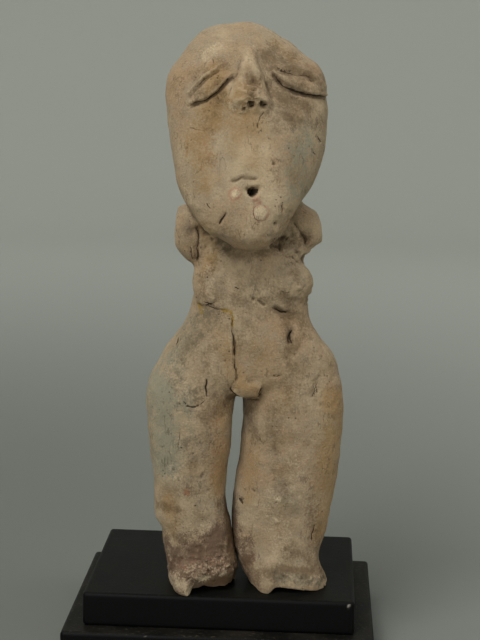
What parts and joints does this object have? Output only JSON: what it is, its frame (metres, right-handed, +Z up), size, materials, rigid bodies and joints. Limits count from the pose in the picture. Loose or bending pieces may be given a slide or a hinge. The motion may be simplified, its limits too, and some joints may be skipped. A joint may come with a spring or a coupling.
{
  "type": "clay figurine",
  "caption": "Hand-built standing clay figurine with slit eyes, pinched nose and broken-off arms, mended at the hip, on a black two-tier wooden stand.",
  "frame": {"origin": "centre of the stand's underside, on the surface that it stands on", "axes": "+Z up, +Y to the back, so the stand's front faces -Y; the figurine is turned 10 degrees from it towards +X"},
  "size_m": [0.071, 0.057, 0.1449],
  "materials": {
    "fired_clay": "bare fired clay, hand smoothed, weathered and stained",
    "black_lacquer": "satin black lacquer on wood"
  },
  "bodies": {
    "root": {"figurine": "fired_clay", "stand_upper_block": "black_lacquer", "stand_lower_board": "black_lacquer"}
  },
  "joints": []
}
